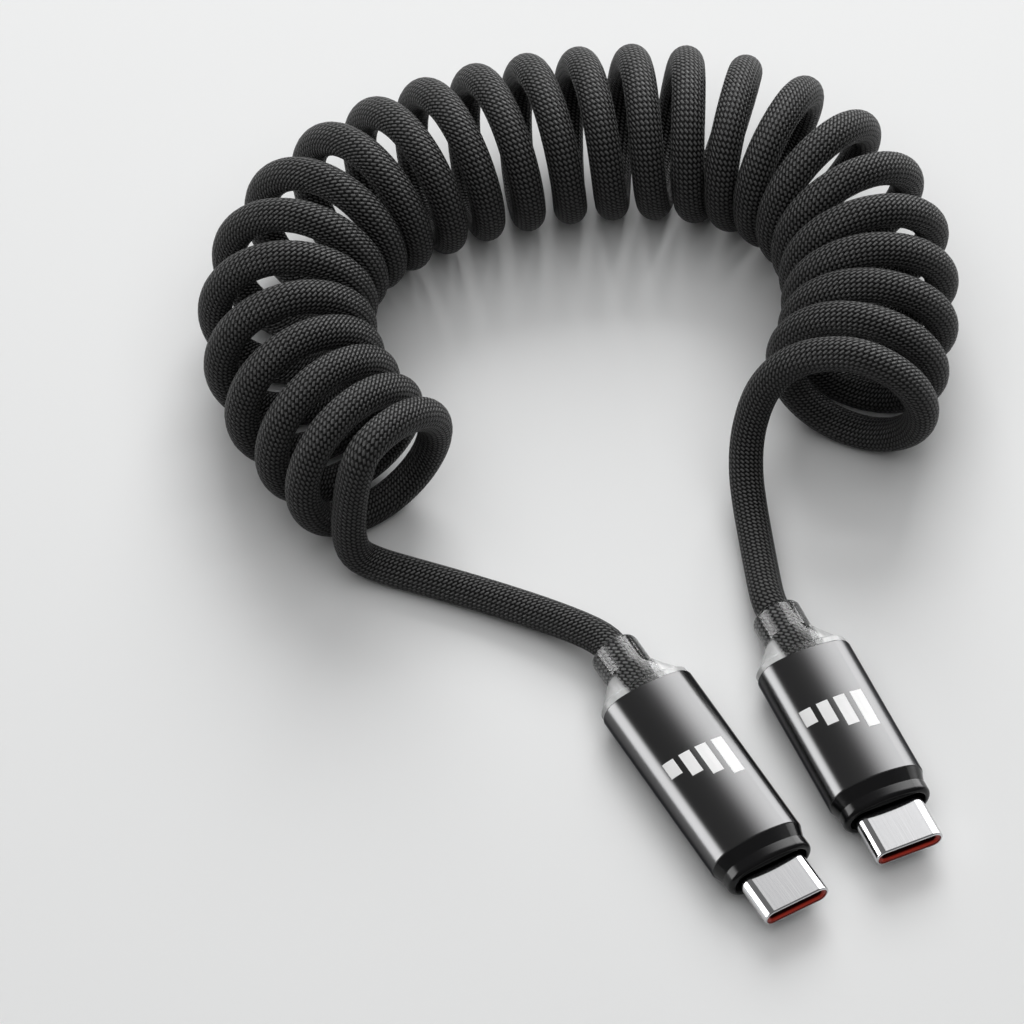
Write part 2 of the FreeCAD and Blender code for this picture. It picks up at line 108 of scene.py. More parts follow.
class CableSizes(bpy.types.PropertyGroup):
    """Sizes of the cord and of what is printed on the housings."""

    cord_diameter: FloatProperty(
        name="Cord diameter", description="Thickness of the braided cord", default=0.004, unit="LENGTH")
    cord_length: FloatProperty(
        name="Cord length", description="Length of the whole cord from plug to plug", default=1.38,
        unit="LENGTH")
    coil_diameter: FloatProperty(
        name="Coil diameter", description="Outer diameter of the coil's turns", default=0.0208,
        unit="LENGTH")
    cord_grip: FloatProperty(
        name="Cord grip", description="How far the cord's braid swells into the clear collars",
        default=0.00005, unit="LENGTH")
    first_turn: FloatProperty(
        name="First turn", default=-0.125,
        description="Where the first turn starts, as a share of a turn from the outer side")
    turn_points: IntProperty(
        name="Points a turn", description="Control points in each turn of the coil", default=16)
    cord_sides: IntProperty(
        name="Cord sides", description="Faces round the cord", default=24)
    braid_strands: IntProperty(
        name="Braid strands", description="Strands that run each way round the cord", default=22)
    bar_count: IntProperty(
        name="Bars", description="Printed bars on each housing", default=4)
    bar_width: FloatProperty(
        name="Bar width", description="Width of each printed bar", default=0.0014, unit="LENGTH")
    bar_spacing: FloatProperty(
        name="Bar spacing", description="Distance from one bar to the next", default=0.0021, unit="LENGTH")
    shortest_bar: FloatProperty(
        name="Shortest bar", description="Length of the shortest bar", default=0.0022, unit="LENGTH")
    longest_bar: FloatProperty(
        name="Longest bar", description="Length of the longest bar", default=0.0052, unit="LENGTH")
    print_shift: FloatProperty(
        name="Print shift", description="How far the print stands off the housing's middle line",
        default=-0.0004, unit="LENGTH")
    ink_thickness: FloatProperty(
        name="Ink thickness", description="Thickness of the printed ink", default=0.00003, unit="LENGTH")


class CableColours(bpy.types.PropertyGroup):
    """Colours of the cable's finishes."""

    braid: FloatVectorProperty(
        name="Braid", description="Colour of the braid's strands", subtype="COLOR",
        default=(0.115, 0.115, 0.115))
    # Painted shade: the near-black colour in the pits between the strands.
    braid_pit_shade: FloatVectorProperty(
        name="Braid pits", description="Colour between the strands", subtype="COLOR",
        default=(0.002, 0.002, 0.002))
    housing: FloatVectorProperty(
        name="Housing", description="Colour of the housing's dark metal", subtype="COLOR",
        default=(0.095, 0.095, 0.096))
    housing_edge: FloatVectorProperty(
        name="Housing's edge tint", description="Tint of the housing's metal at a glancing angle",
        subtype="COLOR", default=(0.3, 0.3, 0.31))
    clear: FloatVectorProperty(
        name="Clear ends", description="Colour of the clear plastic at the rear of each plug",
        subtype="COLOR", default=(0.95, 0.955, 0.955))
    nose: FloatVectorProperty(
        name="Nose", description="Colour of the black front collar", subtype="COLOR",
        default=(0.006, 0.006, 0.0065))
    shell: FloatVectorProperty(
        name="Shell", description="Colour of the polished shell", subtype="COLOR", default=(0.62, 0.62, 0.63))
    carrier: FloatVectorProperty(
        name="Contact carrier", description="Colour of the carrier in the plug's mouth", subtype="COLOR",
        default=(0.82, 0.058, 0.028))
    # Painted shade: the colour that the carrier darkens to deep in its slot.
    carrier_slot_shade: FloatVectorProperty(
        name="Carrier's slot", description="Colour of the carrier deep in its slot", subtype="COLOR",
        default=(0.03, 0.003, 0.002))
    gold: FloatVectorProperty(
        name="Contacts", description="Colour of the plated contacts", subtype="COLOR",
        default=(0.85, 0.6, 0.25))
    steel: FloatVectorProperty(
        name="Springs", description="Colour of the stamped springs and latch", subtype="COLOR",
        default=(0.6, 0.6, 0.62))
    board: FloatVectorProperty(
        name="Board", description="Colour of the circuit board", subtype="COLOR", default=(0.02, 0.14, 0.05))
    wire: FloatVectorProperty(
        name="Wires", description="Colour of the wires' jackets", subtype="COLOR", default=(0.35, 0.04, 0.04))
    core: FloatVectorProperty(
        name="Core", description="Colour of the core inside the housing", subtype="COLOR",
        default=(0.72, 0.72, 0.69))
    ink: FloatVectorProperty(
        name="Ink", description="Colour of the printed bars", subtype="COLOR", default=(0.86, 0.86, 0.86))
    floor: FloatVectorProperty(
        name="Table", description="Colour of the table", subtype="COLOR", default=(0.88, 0.885, 0.885))


class CableStage(bpy.types.PropertyGroup):
    """The table, the light and the camera."""

    table_width: FloatProperty(
        name="Table width", description="Width of the square table", default=3.0, unit="LENGTH")
    table_bounce: FloatProperty(
        name="Table bounce", description="Share of the table's colour that lights the cable from below",
        default=0.15)
    target: FloatVectorProperty(
        name="Target", description="The point that the camera looks at", subtype="TRANSLATION",
        unit="LENGTH", default=(-0.0285, 0.0375, 0.0))
    elevation: FloatProperty(
        name="Elevation", description="The camera's angle above the table", subtype="ANGLE",
        default=math.radians(53.5))
    distance: FloatProperty(
        name="Distance", description="From the camera to its target", default=0.9, unit="LENGTH")
    lens: FloatProperty(
        name="Lens", description="The camera's focal length in millimetres", default=274.0)
    top_power: FloatProperty(
        name="Top light", description="Power of the wide light overhead in watts", default=14.0)
    top_height: FloatProperty(
        name="Top height", description="From the table to the top light", default=1.2, unit="LENGTH")
    top_size: FloatProperty(
        name="Top size", description="Width of the top light", default=2.0, unit="LENGTH")
    key_power: FloatProperty(
        name="Key light", description="Power of the light behind the cable in watts", default=4.4)
    key_distance: FloatProperty(
        name="Key distance", description="From the key light to the target", default=0.8, unit="LENGTH")
    key_elevation: FloatProperty(
        name="Key elevation", description="The key light's angle above the table", subtype="ANGLE",
        default=math.radians(37))
    key_azimuth: FloatProperty(
        name="Key azimuth", description="The key light's angle to the right of straight behind",
        subtype="ANGLE", default=math.radians(4))
    key_size: FloatProperty(
        name="Key size", description="Width of the key light", default=0.5, unit="LENGTH")
    room: FloatProperty(
        name="Room", description="How bright the room is overhead and in front", default=0.2)
    back_glow: FloatProperty(
        name="Back glow", description="How bright the wide light behind and to the right is", default=7.2)
    back_glow_aim: FloatVectorProperty(
        name="Back glow's aim", description="Direction to the middle of the back glow",
        subtype="DIRECTION", default=(0.45, 0.80, 0.40))
    back_glow_edge: FloatProperty(
        name="Back glow's edge", description="Angle from the back glow's middle to its edge",
        subtype="ANGLE", default=math.radians(42))
    side_glow: FloatProperty(
        name="Side glow", description="How bright the low light on the left is", default=7.2)
    side_glow_aim: FloatVectorProperty(
        name="Side glow's aim", description="Direction to the middle of the side glow",
        subtype="DIRECTION", default=(-0.95, 0.05, 0.30))
    side_glow_edge: FloatProperty(
        name="Side glow's edge", description="Angle from the side glow's middle to its edge",
        subtype="ANGLE", default=math.radians(31))
    side_glow_core: FloatProperty(
        name="Side glow's core", description="Angle from the side glow's middle to where it starts to fade",
        subtype="ANGLE", default=math.radians(11))


def add_node(tree, kind, sockets, **settings):
    """A new node with its settings. Each socket named gets a value, or a link from another socket."""
    made = tree.nodes.new(kind)
    for name, value in settings.items():
        setattr(made, name, value)
    for name, value in sockets.items():
        if isinstance(value, bpy.types.NodeSocket):
            tree.links.new(value, made.inputs[name])
        else:
            made.inputs[name].default_value = value
    return made


class Finish:
    """One material, put together node by node."""

    def __init__(self, name):
        self.material = bpy.data.materials.new(name)
        self.material.use_nodes = True
        self.tree = self.material.node_tree
        self.shader = self.tree.nodes["Principled BSDF"]

    def fixed(self, values):
        """Sets the shader's sockets that are the same all over the surface."""
        for name, value in values.items():
            self.shader.inputs[name].default_value = value

    def feed(self, name, socket):
        """Links what varies over the surface to a socket of the shader."""
        self.tree.links.new(socket, self.shader.inputs[name])

    def node(self, kind, sockets, **settings):
        return add_node(self.tree, kind, sockets, **settings)

    def maths(self, operation, first, second=0.0):
        return self.node("ShaderNodeMath", {0: first, 1: second}, operation=operation).outputs[0]

    def places(self):
        """The object's own coordinates."""
        return self.node("ShaderNodeTexCoord", {}).outputs["Object"]

    def plug_places(self, letter):
        """A plug's own coordinates: x runs out of the mouth, z is up and the mouth is at 0."""
        placed = plug_frame(letter)
        sockets = {"Vector": self.places(), "Location": placed.translation, "Rotation": placed.to_euler()}
        return self.node("ShaderNodeMapping", sockets, vector_type="TEXTURE").outputs[0]

    def stretched(self, places, factors):
        return self.node("ShaderNodeVectorMath", {0: places, 1: factors}, operation="MULTIPLY").outputs[0]

    def noise(self, places, scale, detail):
        sockets = {"Vector": places, "Scale": scale, "Detail": detail}
        return self.node("ShaderNodeTexNoise", sockets).outputs[0]

    def spread(self, value, low, high):
        """Maps a value from 0 to 1 onto a range."""
        return self.node("ShaderNodeMapRange", {"Value": value, "To Min": low, "To Max": high}).outputs[0]

    def rise(self, value, start, end):
        """Goes smoothly from 0 to 1 while a value goes from start to end."""
        sockets = {"Value": value, "From Min": start, "From Max": end}
        return self.node("ShaderNodeMapRange", sockets, interpolation_type="SMOOTHSTEP").outputs[0]

    def blend(self, share, first, second):
        """A colour between two others, which the mix node takes in its sockets 6 and 7."""
        sockets = {0: share, 6: (*first, 1.0), 7: (*second, 1.0)}
        return self.node("ShaderNodeMix", sockets, data_type="RGBA").outputs[2]

    def bump(self, height, distance):
        """Raises the surface by a distance where the height is 1."""
        sockets = {"Height": height, "Distance": distance, "Strength": 1.0}
        self.feed("Normal", self.node("ShaderNodeBump", sockets).outputs[0])


def shade(colour, factor):
    """The colour made darker or lighter."""
    return tuple(channel * factor for channel in colour)


def braid_finish(sizes, colours):
    """Round strands that wind up the cord, pinched in turn by thin strands that wind the other way, with
    painted shade that darkens the pits between them and the pinched strands.
    """
    finish = Finish("cord_braid")
    uv = finish.node("ShaderNodeUVMap", {}, uv_map="braid").outputs[0]
    parts = finish.node("ShaderNodeSeparateXYZ", {"Vector": uv})
    around = finish.maths("MULTIPLY", parts.outputs[0], sizes.braid_strands)
    along = finish.maths("MULTIPLY", parts.outputs[1], sizes.braid_strands)
    rising = finish.maths("ADD", around, along)
    falling = finish.maths("SUBTRACT", around, along)
    round_strand = finish.maths("SINE", finish.maths("MULTIPLY", finish.maths("FRACT", rising), math.pi))
    # The pinches stand half a period further along on each next strand.
    reach = finish.maths("ADD", finish.maths("FLOOR", rising), falling)
    wave = finish.maths("COSINE", finish.maths("MULTIPLY", reach, math.pi))
    # A pinched strand keeps 0.4 of its height. The power makes its round top a little flatter.
    pinch = finish.spread(finish.rise(wave, -0.9, 0.1), 0.4, 1.0)
    height = finish.maths("MULTIPLY", finish.maths("POWER", round_strand, 0.7), pinch)
    fibre = finish.noise(finish.places(), scale=2500.0, detail=2.0)
    # Painted shade: the colour falls from the strands' colour to the pits' near black as the strands' height
    # falls.
    tone = finish.maths("MULTIPLY", finish.rise(height, 0.3, 0.95), finish.spread(fibre, 0.5, 1.5))
    finish.feed("Base Color", finish.blend(tone, colours.braid_pit_shade, colours.braid))
    finish.feed("Roughness", finish.spread(fibre, 0.4, 0.55))
    finish.fixed({"Specular IOR Level": 0.13})
    finish.bump(height, STRAND_HEIGHT)
    return finish.material


def housing_finish(colours):
    """Dark metal with a smooth gloss and a faint grain."""
    finish = Finish("housing_metal")
    grain = finish.noise(finish.places(), scale=6000.0, detail=2.0)
    cloud = finish.noise(finish.places(), scale=90.0, detail=2.0)
    finish.feed("Base Color", finish.blend(cloud, shade(colours.housing, 0.92), shade(colours.housing, 1.06)))
    finish.feed("Roughness", finish.spread(grain, 0.2, 0.26))
    # A dark edge tint keeps the steep sides from mirroring the table.
    finish.fixed({"Metallic": 1.0, "Specular Tint": (*colours.housing_edge, 1.0)})
    finish.bump(grain, GRAIN_HEIGHT)
    return finish.material


def clear_finish(letter, colours):
    """Clear moulded plastic, with a painted reflection of milky white patches in the shoulder on both sides
    of the cord.
    """
    finish = Finish("clear_plastic_" + letter)
    places = finish.plug_places(letter)
    parts = finish.node("ShaderNodeSeparateXYZ", {"Vector": places})
    shoulder = COLLAR_LENGTH - PLUG_LENGTH[letter]
    past_collar = finish.rise(parts.outputs[0], shoulder, shoulder + PAINTED_REFLECTION_FADE)
    beside_cord = finish.rise(finish.maths("ABSOLUTE", parts.outputs[1]), *PAINTED_REFLECTION_SIDES)
    # Painted reflection: less clear, milky white plastic beside the cord stands in for the white that the
    # shoulder reflects and shows through.
    reflection_noise = finish.noise(finish.stretched(places, (0.5, 1.0, 1.0)), scale=900.0, detail=3.0)
    reflection_area = finish.maths("MULTIPLY", past_collar, beside_cord)
    painted_reflection = finish.maths("MULTIPLY", reflection_area, finish.spread(reflection_noise, 0.35, 0.85))
    finish.feed("Transmission Weight", finish.maths("SUBTRACT", 1.0, painted_reflection))
    ripple = finish.noise(places, scale=1100.0, detail=1.0)
    finish.feed("Roughness", finish.spread(ripple, 0.1, 0.2))
    finish.fixed({"Base Color": (*colours.clear, 1.0), "IOR": 1.4, "Specular IOR Level": 0.3})
    finish.bump(ripple, RIPPLE_HEIGHT)
    return finish.material


def carrier_finish(letter, colours):
    """Red moulded plastic with painted shade that darkens it with depth in its slot."""
    finish = Finish("red_plastic_" + letter)
    places = finish.plug_places(letter)
    forward = finish.node("ShaderNodeSeparateXYZ", {"Vector": places}).outputs[0]
    # Painted shade: the carrier's colour fades to the slot's dark colour with depth behind the mouth.
    unshaded_share = finish.rise(forward, -CARRIER_SHADE_FULL, -CARRIER_SHADE_START)
    grain = finish.noise(places, scale=4000.0, detail=2.0)
    tone = finish.maths("MULTIPLY", unshaded_share, finish.spread(grain, 0.8, 1.2))
    finish.feed("Base Color", finish.blend(tone, colours.carrier_slot_shade, colours.carrier))
    finish.feed("Roughness", finish.spread(grain, 0.3, 0.4))
    finish.bump(grain, GRAIN_HEIGHT)
    return finish.material


def moulded_finish(name, colour, roughness, gloss=0.5):
    """Moulded plastic with a fine grain and a slight change of tone."""
    finish = Finish(name)
    grain = finish.noise(finish.places(), scale=4000.0, detail=2.0)
    cloud = finish.noise(finish.places(), scale=200.0, detail=2.0)
    finish.feed("Base Color", finish.blend(cloud, shade(colour, 0.85), shade(colour, 1.15)))
    finish.feed("Roughness", finish.spread(grain, roughness - 0.05, roughness + 0.05))
    finish.fixed({"Specular IOR Level": gloss})
    finish.bump(grain, GRAIN_HEIGHT)
    return finish.material


def drawn_metal_finish(name, letter, colour, roughness):
    """Metal with fine lines along the plug."""
    finish = Finish(name + "_" + letter)
    drawn_out = finish.stretched(finish.plug_places(letter), (0.02, 1.0, 1.0))
    lines = finish.noise(drawn_out, scale=7000.0, detail=2.0)
    finish.feed("Base Color", finish.blend(lines, shade(colour, 0.97), shade(colour, 1.03)))
    finish.feed("Roughness", finish.spread(lines, roughness * 0.8, roughness * 1.3))
    finish.fixed({"Metallic": 1.0})
    finish.bump(lines, GRAIN_HEIGHT)
    return finish.material


def dress(material, *names):
    """Gives solid pieces their finish, in the one material slot that each has."""
    for name in names:
        frame["nodes"][name].material_slots[0].material = material


def add_piece(name, mesh):
    """Puts a finished mesh into the scene as a piece that goes with the cable."""
    piece = bpy.data.objects.new(name, mesh)
    bpy.context.scene.collection.objects.link(piece)
    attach(piece, "root")
    return piece


def plug_frame(letter):
    """From a plug's own frame to the cable's: x runs out of the mouth, z is up and the mouth is at 0."""
    mount = next(m for m in frame["record"]["mounts"] if m["name"] == "plug_mouth_" + letter)
    forward = Vector(mount["axis"]).normalized()
    up = Vector((0.0, 0.0, 1.0))
    turned = Matrix((forward, up.cross(forward), up)).transposed().to_4x4()
    return Matrix.Translation(mount["pos_m"]) @ turned


def plug_point(letter, distance):
    """A point on a plug's axis, at a distance in from the collar's rear rim."""
    return plug_frame(letter) @ Vector((distance - PLUG_LENGTH[letter], 0.0, 0.0))


def smooth_line(points, steps):
    """Points along a smooth line that the given points steer."""
    curve = bpy.data.curves.new("route", "CURVE")
    curve.dimensions = "3D"
    curve.resolution_u = steps
    spline = curve.splines.new("NURBS")
    spline.points.add(len(points) - 1)
    for made, point in zip(spline.points, points):
        made.co = (*point, 1.0)
    spline.order_u = 3
    spline.use_endpoint_u = True
    carrier = bpy.data.objects.new("route", curve)
    mesh = bpy.data.meshes.new_from_object(carrier)
    line = [vertex.co.copy() for vertex in mesh.vertices]
    bpy.data.objects.remove(carrier)
    bpy.data.curves.remove(curve)
    bpy.data.meshes.remove(mesh)
    return line


def distances(line):
    """How far along the line each of its points is."""
    found = [0.0]
    for before, after in zip(line, line[1:]):
        found.append(found[-1] + (after - before).length)
    return found


def between(keys, values, key):
    """The value at a key, on straight lines between the known ones."""
    place = min(max(bisect.bisect_right(keys, key), 1), len(keys) - 1)
    share = (key - keys[place - 1]) / (keys[place] - keys[place - 1])
    return values[place - 1] + (values[place] - values[place - 1]) * share


def coil_points(sizes):
    """Control points of the coil's turns, wound round the middle line from lead A to lead B."""
    height = sizes.coil_diameter / 2
    axis = smooth_line([(x, y, height) for x, y in COIL_ROUTE], steps=24)
    along = distances(axis)
    # How many turns are wound by the time each point of the middle line is reached.
    wound = [0.0]
    for before, after in zip(along, along[1:]):
        wound.append(wound[-1] + (after - before) / between(*zip(*TURN_SPACING), after / along[-1]))
    count = round(wound[-1] * sizes.turn_points)
    # The smooth line passes a little inside its control points, so they stand a little further out.
    outset = 1 / math.cos(math.pi / sizes.turn_points)
    up = Vector((0.0, 0.0, 1.0))
    step = along[-1] / len(along)
    points = []
    for number in range(LEAD_A_JOIN, count + 1 - LEAD_B_JOIN):
        turn = wound[-1] * number / count
        distance = between(wound, along, turn)
        diameter = sizes.coil_diameter * between(*zip(*TURN_SIZES), distance / along[-1])
        radius = (diameter - sizes.cord_diameter) / 2 * outset
        centre = between(along, axis, distance) + up * (diameter / 2 - height)
        travel = between(along, axis, distance + step) - between(along, axis, distance - step)
        side = up.cross(travel.normalized())
        angle = 2 * math.pi * (sizes.first_turn + turn)
        points.append(centre + (side * math.cos(angle) + up * math.sin(angle)) * radius)
    return points


def cord_line(sizes):
    """The whole cord's middle line, from inside plug A to inside plug B."""
    points = [plug_point("a", station) for station in reversed(PLUG_STATIONS)]
    points += [Vector(point) for point in LEAD_A_ROUTE]
    points += coil_points(sizes)
    points += [Vector(point) for point in LEAD_B_ROUTE]
    points += [plug_point("b", station) for station in PLUG_STATIONS]
    return smooth_line(points, steps=4)


def tube_mesh(name, line, diameters, sides):
    """A closed tube along a line, with a diameter at each point and a map that runs round it and along it."""
    along = distances(line)
    tangents = [(after - before).normalized() for before, after in zip(line, line[1:])]
    tangents.append(tangents[-1])
    normal = tangents[0].orthogonal().normalized()
    vertices = []
    for point, diameter, before, after in zip(line, diameters, [tangents[0]] + tangents, tangents):
        normal = before.rotation_difference(after) @ normal
        heading = (before + after).normalized()
        normal = (normal - heading * normal.dot(heading)).normalized()
        other = heading.cross(normal)
        for number in range(sides):
            angle = 2 * math.pi * number / sides
            spoke = normal * math.cos(angle) + other * math.sin(angle)
            vertices.append(point + spoke * (diameter / 2))
    faces = []
    corners = []
    girth = math.pi * min(diameters)
    for ring in range(len(line) - 1):
        for number in range(sides):
            here = ring * sides + number
            beside = ring * sides + (number + 1) % sides
            faces.append((here, beside, beside + sides, here + sides))
            left, right = number / sides, (number + 1) / sides
            low, high = along[ring] / girth, along[ring + 1] / girth
            corners += [(left, low), (right, low), (right, high), (left, high)]
    last = (len(line) - 1) * sides
    faces.append(tuple(reversed(range(sides))))
    faces.append(tuple(range(last, last + sides)))
    corners += [(0.0, 0.0)] * (2 * sides)
    mesh = bpy.data.meshes.new(name)
    mesh.from_pydata(vertices, [], faces)
    layer = mesh.uv_layers.new(name="braid")
    for loop, corner in zip(layer.data, corners):
        loop.uv = corner
    mesh.shade_smooth()
    return mesh


def bars_tree(name):
    """A node tree that lays a row of printed bars, each longer than the last, down onto a surface."""
    tree = bpy.data.node_groups.new(name, "GeometryNodeTree")
    inputs = {
        "Count": "NodeSocketInt", "Width": "NodeSocketFloat", "Spacing": "NodeSocketFloat",
        "Shortest": "NodeSocketFloat", "Longest": "NodeSocketFloat", "Thickness": "NodeSocketFloat",
        "Place": "NodeSocketVector", "Heading": "NodeSocketFloat", "Surface": "NodeSocketObject",
        "Ink": "NodeSocketMaterial",
    }
    for label, kind in inputs.items():
        tree.interface.new_socket(label, in_out="INPUT", socket_type=kind)
    tree.interface.new_socket("Geometry", in_out="OUTPUT", socket_type="NodeSocketGeometry")
    given = tree.nodes.new("NodeGroupInput").outputs

    def node(kind, sockets, **settings):
        return add_node(tree, kind, sockets, **settings)

    def maths(operation, first, second):
        return node("ShaderNodeMath", {0: first, 1: second}, operation=operation).outputs[0]

    def vector_maths(operation, first, second):
        return node("ShaderNodeVectorMath", {0: first, 1: second}, operation=operation).outputs[0]

    def vector(x, y, z):
        return node("ShaderNodeCombineXYZ", {"X": x, "Y": y, "Z": z}).outputs[0]

    # The bars' rear ends are in line, so the middle of each is half its growth further forward.
    gaps = maths("SUBTRACT", given["Count"], 1.0)
    growth = maths("SUBTRACT", given["Longest"], given["Shortest"])
    half_growth = maths("MULTIPLY", growth, 0.5)
    half_row = maths("MULTIPLY", maths("MULTIPLY", gaps, given["Spacing"]), 0.5)
    first_bar = vector(maths("MULTIPLY", half_growth, -1.0), maths("MULTIPLY", half_row, -1.0), 0.0)
    next_bar = vector(maths("DIVIDE", half_growth, gaps), given["Spacing"], 0.0)
    row = node("GeometryNodeMeshLine", {
        "Count": given["Count"], "Start Location": first_bar, "Offset": next_bar,
    }, mode="OFFSET")
    share = maths("DIVIDE", node("GeometryNodeInputIndex", {}).outputs[0], gaps)
    length = maths("ADD", given["Shortest"], maths("MULTIPLY", growth, share))
    # The points across each bar let it follow the curve of the surface.
    bar = node("GeometryNodeMeshCube", {
        "Size": (1.0, 1.0, 1.0), "Vertices X": 2, "Vertices Y": 9, "Vertices Z": 2,
    })
    bars = node("GeometryNodeInstanceOnPoints", {
        "Points": row.outputs[0], "Instance": bar.outputs[0],
        "Scale": vector(length, given["Width"], given["Thickness"]),
    })
    whole = node("GeometryNodeRealizeInstances", {"Geometry": bars.outputs[0]})
    heading = node("FunctionNodeEulerToRotation", {"Euler": vector(0.0, 0.0, given["Heading"])})
    placed = node("GeometryNodeTransform", {
        "Geometry": whole.outputs[0], "Translation": given["Place"], "Rotation": heading.outputs[0],
    })
    surface = node("GeometryNodeObjectInfo", {"Object": given["Surface"]})
    fall = node("GeometryNodeRaycast", {
        "Target Geometry": surface.outputs["Geometry"], "Ray Direction": (0.0, 0.0, -1.0), "Ray Length": 1.0,
    })
    # Each point lands on the surface and keeps its own height above or below the middle of the ink.
    position = node("GeometryNodeInputPosition", {}).outputs[0]
    from_middle = vector_maths("SUBTRACT", position, given["Place"])
    own_height = vector_maths("MULTIPLY", from_middle, (0.0, 0.0, 1.0))
    landed = vector_maths("ADD", fall.outputs["Hit Position"], own_height)
    draped = node("GeometryNodeSetPosition", {"Geometry": placed.outputs[0], "Position": landed})
    inked = node("GeometryNodeSetMaterial", {"Geometry": draped.outputs[0], "Material": given["Ink"]})
    tree.links.new(inked.outputs[0], tree.nodes.new("NodeGroupOutput").inputs[0])
    return tree


def grown_mesh(name, tree, values):
    """The plain mesh that a node tree makes from its inputs."""
    carrier = bpy.data.objects.new(name, bpy.data.meshes.new(name))
    bpy.context.scene.collection.objects.link(carrier)
    modifier = carrier.modifiers.new(name, "NODES")
    modifier.node_group = tree
    for socket in tree.interface.items_tree:
        if socket.in_out == "INPUT":
            modifier[socket.identifier] = values[socket.name]
    graph = bpy.context.evaluated_depsgraph_get()
    mesh = bpy.data.meshes.new_from_object(carrier.evaluated_get(graph))
    bpy.data.objects.remove(carrier)
    return mesh


class CABLE_OT_braided_cord(bpy.types.Operator):
    """Makes the braided cord, with its coil and its two leads in one length"""

    bl_idname = "cable.braided_cord"
    bl_label = "Braided cord"

    def execute(self, context):
        sizes = context.scene.cable_sizes
        line = cord_line(sizes)
        along = distances(line)
        diameters = [sizes.cord_diameter] * len(line)
        for place, distance in enumerate(along):
            if min(distance, along[-1] - distance) < PLUG_STATIONS[-1]:
                diameters[place] += 2 * sizes.cord_grip
        mesh = tube_mesh("braided_cord", line, diameters, sizes.cord_sides)
        mesh.materials.append(braid_finish(sizes, context.scene.cable_colours))
        cord = add_piece("braided_cord", mesh)
        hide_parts("coiled_cord", "lead_a", "lead_b")
        return {"FINISHED"}


class CABLE_OT_housings(bpy.types.Operator):
    """Finishes the two dark housings and their black noses"""

    bl_idname = "cable.housings"
    bl_label = "Housings and noses"

    def execute(self, context):
        colours = context.scene.cable_colours
        dress(housing_finish(colours), "housing_a", "housing_b")
        nose = moulded_finish("black_plastic", colours.nose, roughness=0.2, gloss=0.25)
        dress(nose, "nose_a", "nose_b")
        return {"FINISHED"}


class CABLE_OT_charge_bars(bpy.types.Operator):
    """Prints a row of rising bars on each housing"""

    bl_idname = "cable.charge_bars"
    bl_label = "Printed bars"

    def execute(self, context):
        sizes = context.scene.cable_sizes
        colours = context.scene.cable_colours
        tree = bars_tree("charge_bars")
        values = {
            "Count": sizes.bar_count, "Width": sizes.bar_width, "Spacing": sizes.bar_spacing,
            "Shortest": sizes.shortest_bar, "Longest": sizes.longest_bar, "Thickness": sizes.ink_thickness,
            "Ink": moulded_finish("white_ink", colours.ink, roughness=0.45),
        }
        for letter in "ab":
            plug = plug_frame(letter)
            values["Place"] = plug @ Vector((-PRINT_PLACE[letter], sizes.print_shift, PRINT_DROP))
            values["Heading"] = plug.to_euler().z
            values["Surface"] = frame["nodes"]["housing_" + letter]
            mesh = grown_mesh("charge_bars_" + letter, tree, values)
            add_piece("charge_bars_" + letter, mesh)
        return {"FINISHED"}


class CABLE_OT_clear_ends(bpy.types.Operator):
    """Finishes the clear moulding at the rear of each plug"""

    bl_idname = "cable.clear_ends"
    bl_label = "Clear ends"

    def execute(self, context):
        for letter in "ab":
            dress(clear_finish(letter, context.scene.cable_colours), "clear_end_" + letter)
        return {"FINISHED"}


class CABLE_OT_mouths(bpy.types.Operator):
    """Finishes the shells, the contact carriers and the sprung metal in the plugs' mouths"""

    bl_idname = "cable.mouths"
    bl_label = "Mouths"

    def execute(self, context):
        colours = context.scene.cable_colours
        for letter in "ab":
            shell = drawn_metal_finish("shell_steel", letter, colours.shell, roughness=0.09)
            dress(shell, "shell_" + letter)
            dress(carrier_finish(letter, colours), "insulator_" + letter)
            gold = drawn_metal_finish("contact_gold", letter, colours.gold, roughness=0.2)
            dress(gold, "contacts_upper_" + letter, "contacts_lower_" + letter)
            steel = drawn_metal_finish("spring_steel", letter, colours.steel, roughness=0.3)
            dress(steel, "latch_plate_" + letter, "ground_springs_" + letter)
        return {"FINISHED"}


class CABLE_OT_inner_works(bpy.types.Operator):
    """Finishes the boards, the wires and the cores inside the housings"""

    bl_idname = "cable.inner_works"
    bl_label = "Inner works"

    def execute(self, context):
        colours = context.scene.cable_colours
        dress(moulded_finish("board_green", colours.board, roughness=0.4), "paddle_card_a", "paddle_card_b")
        dress(moulded_finish("chip_black", colours.nose, roughness=0.5), "emarker_chip_a")
        dress(moulded_finish("wire_jacket", colours.wire, roughness=0.45), "wires_a", "wires_b")
        dress(moulded_finish("core_plastic", colours.core, roughness=0.5), "inner_mould_a", "inner_mould_b")
        return {"FINISHED"}


def table_top(stage, colours):
    """A wide table that looks white, in gloss too, and throws little light back up under the cable."""
    half = stage.table_width / 2
    corners = [(-half, -half, 0.0), (half, -half, 0.0), (half, half, 0.0), (-half, half, 0.0)]
    mesh = bpy.data.meshes.new("table")
    mesh.from_pydata(corners, [], [(0, 1, 2, 3)])
    finish = Finish("table_white")
    path = finish.node("ShaderNodeLightPath", {}).outputs
    mirrored = finish.maths("MAXIMUM", path["Is Glossy Ray"], path["Is Transmission Ray"])
    seen = finish.maths("MAXIMUM", path["Is Camera Ray"], mirrored)
    cloud = finish.spread(finish.noise(finish.places(), scale=3.0, detail=1.0), 0.98, 1.0)
    share = finish.maths("MULTIPLY", seen, cloud)
    dimmed = shade(colours.floor, stage.table_bounce)
    finish.feed("Base Color", finish.blend(share, dimmed, colours.floor))
    finish.fixed({"Roughness": 0.7, "Specular IOR Level": 0.1})
    mesh.materials.append(finish.material)
    table = bpy.data.objects.new("table", mesh)
    bpy.context.scene.collection.objects.link(table)


